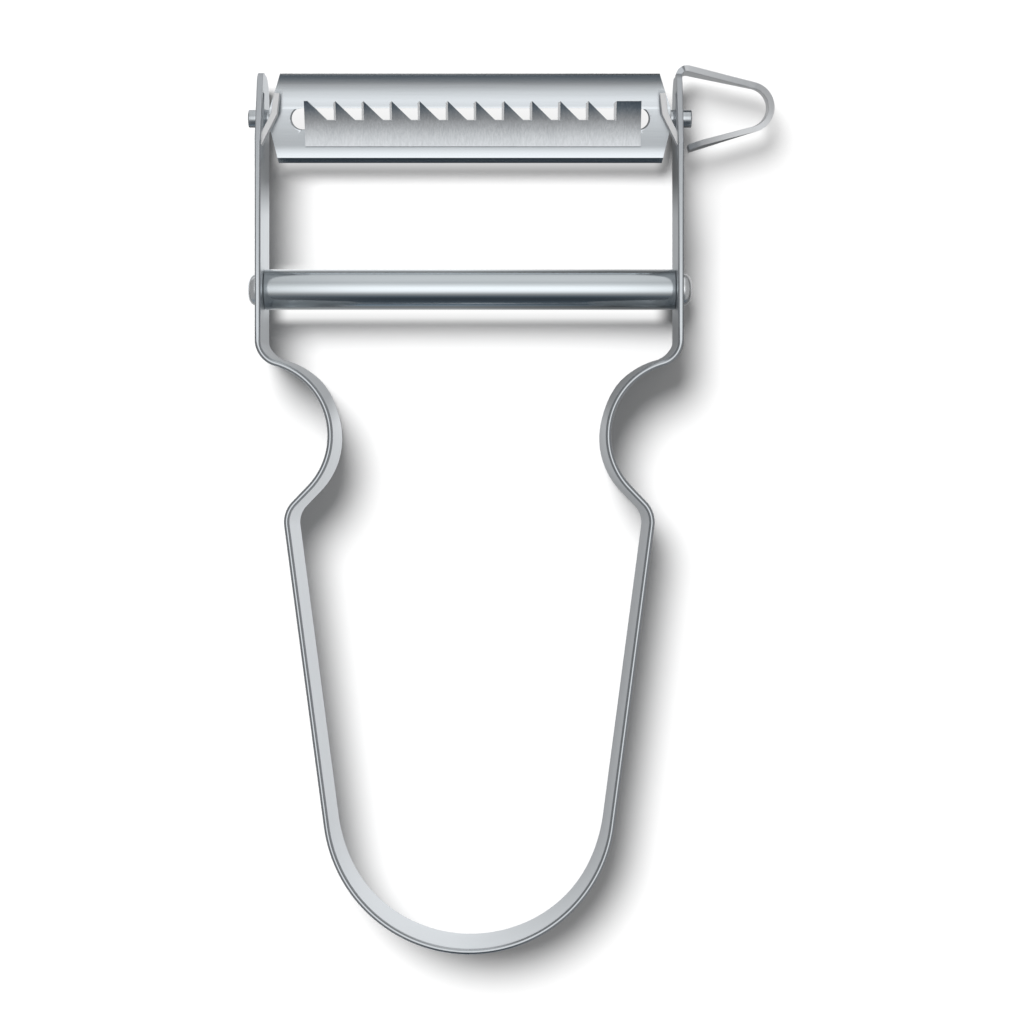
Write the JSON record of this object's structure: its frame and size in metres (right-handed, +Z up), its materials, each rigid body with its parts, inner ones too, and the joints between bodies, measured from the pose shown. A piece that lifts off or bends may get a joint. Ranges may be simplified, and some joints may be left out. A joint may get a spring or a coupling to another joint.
{
  "type": "julienne peeler",
  "caption": "All-metal Y-shaped julienne peeler: a bent steel strip handle with finger waists, a crossbar, a swivelling slotted blade with a toothed comb, and an eye-remover loop.",
  "frame": {"origin": "on the lower edge of the strip, at mid-thickness in the middle of the handle's bottom bend", "axes": "+Y along the handle towards the blade, +X towards the eye-remover loop, +Z up from the surface it lies on, out of the blade's front"},
  "size_m": [0.0656, 0.1098, 0.01],
  "materials": {
    "strip_steel": "satin, with rolled bright edges",
    "bar_steel": "polished",
    "blade_steel": "fine satin with ground edges",
    "comb_steel": "brushed across the plate",
    "pin_steel": "turned"
  },
  "bodies": {
    "bow": {"frame_bow": "strip_steel", "crossbar_tube": "bar_steel", "crossbar_rivet": "pin_steel"},
    "swivel": {"blade": "blade_steel", "julienne_comb": "comb_steel", "pivot_pin_left": "pin_steel", "pivot_pin_right": "pin_steel"}
  },
  "joints": [
    {"name": "blade_swivel", "type": "hinge", "parent": "bow", "child": "swivel", "pos_m": [0, 0.10299, 0.0045], "axis": [1, 0, 0], "range_deg": [-60, 2]}
  ]
}
